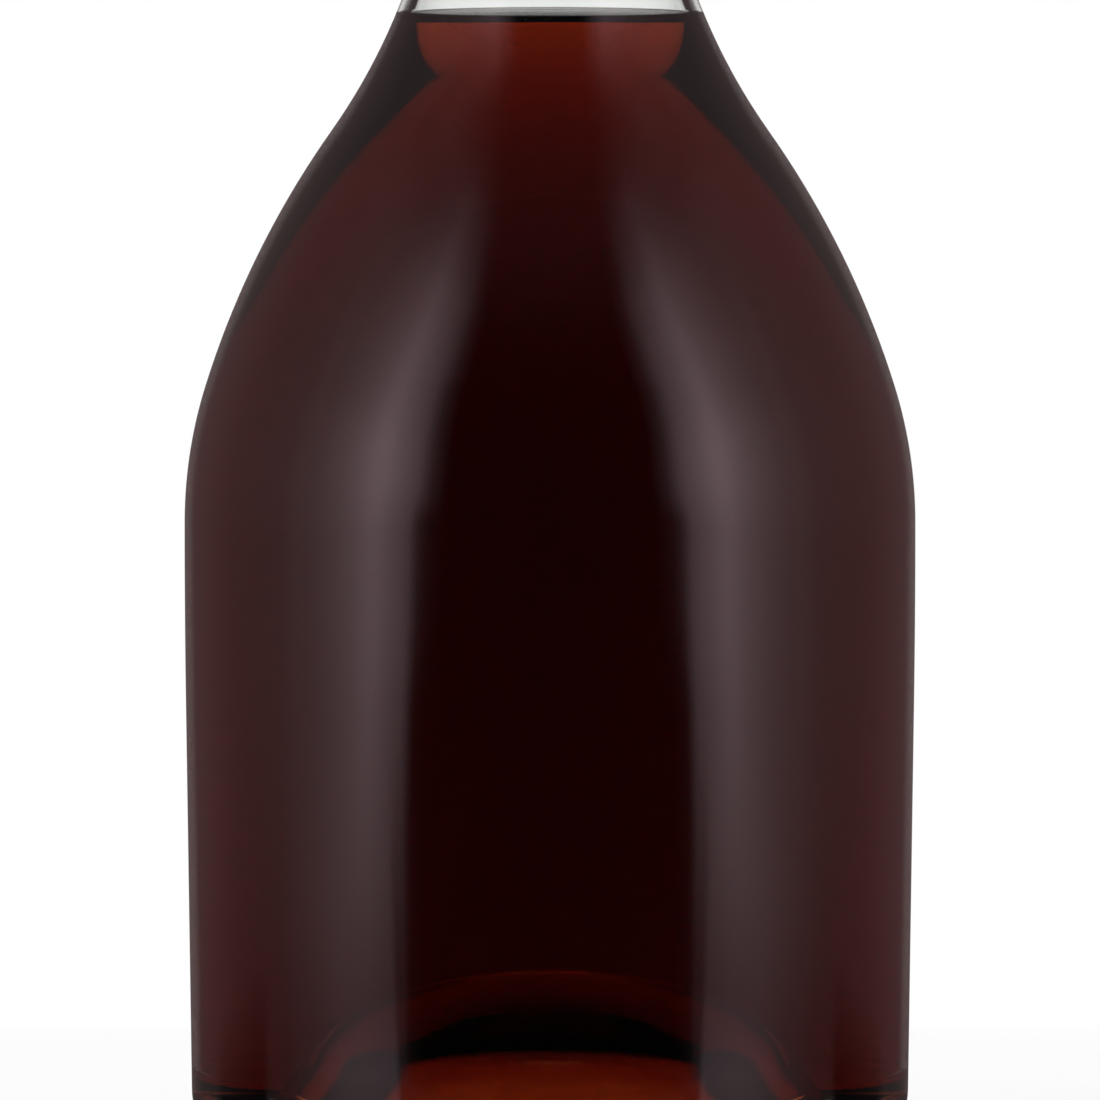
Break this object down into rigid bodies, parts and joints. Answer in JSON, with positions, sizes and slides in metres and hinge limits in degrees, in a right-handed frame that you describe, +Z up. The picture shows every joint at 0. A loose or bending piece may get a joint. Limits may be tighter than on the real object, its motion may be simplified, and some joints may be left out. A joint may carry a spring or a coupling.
{
  "type": "cognac bottle",
  "caption": "Round clear glass spirits bottle with sloping shoulders, long neck and push-up base, filled with dark cognac and closed by a cork with a turned wooden head.",
  "frame": {"origin": "centre of the foot, on the plane the bottle stands on", "axes": "+Z up along the bottle's axis of revolution; the bottle is round, so +X and +Y are any two square directions"},
  "size_m": [0.0932, 0.0932, 0.2745],
  "materials": {
    "clear_glass": "clear colourless bottle glass, polished",
    "cognac": "clear very dark red-brown spirit",
    "cork": "natural cork, fine dark pores",
    "dark_wood": "dark stained turned wood, satin"
  },
  "bodies": {
    "root": {"glass_bottle": "clear_glass", "cognac": "cognac", "cork_shank": "cork", "stopper_head": "dark_wood"}
  },
  "joints": []
}
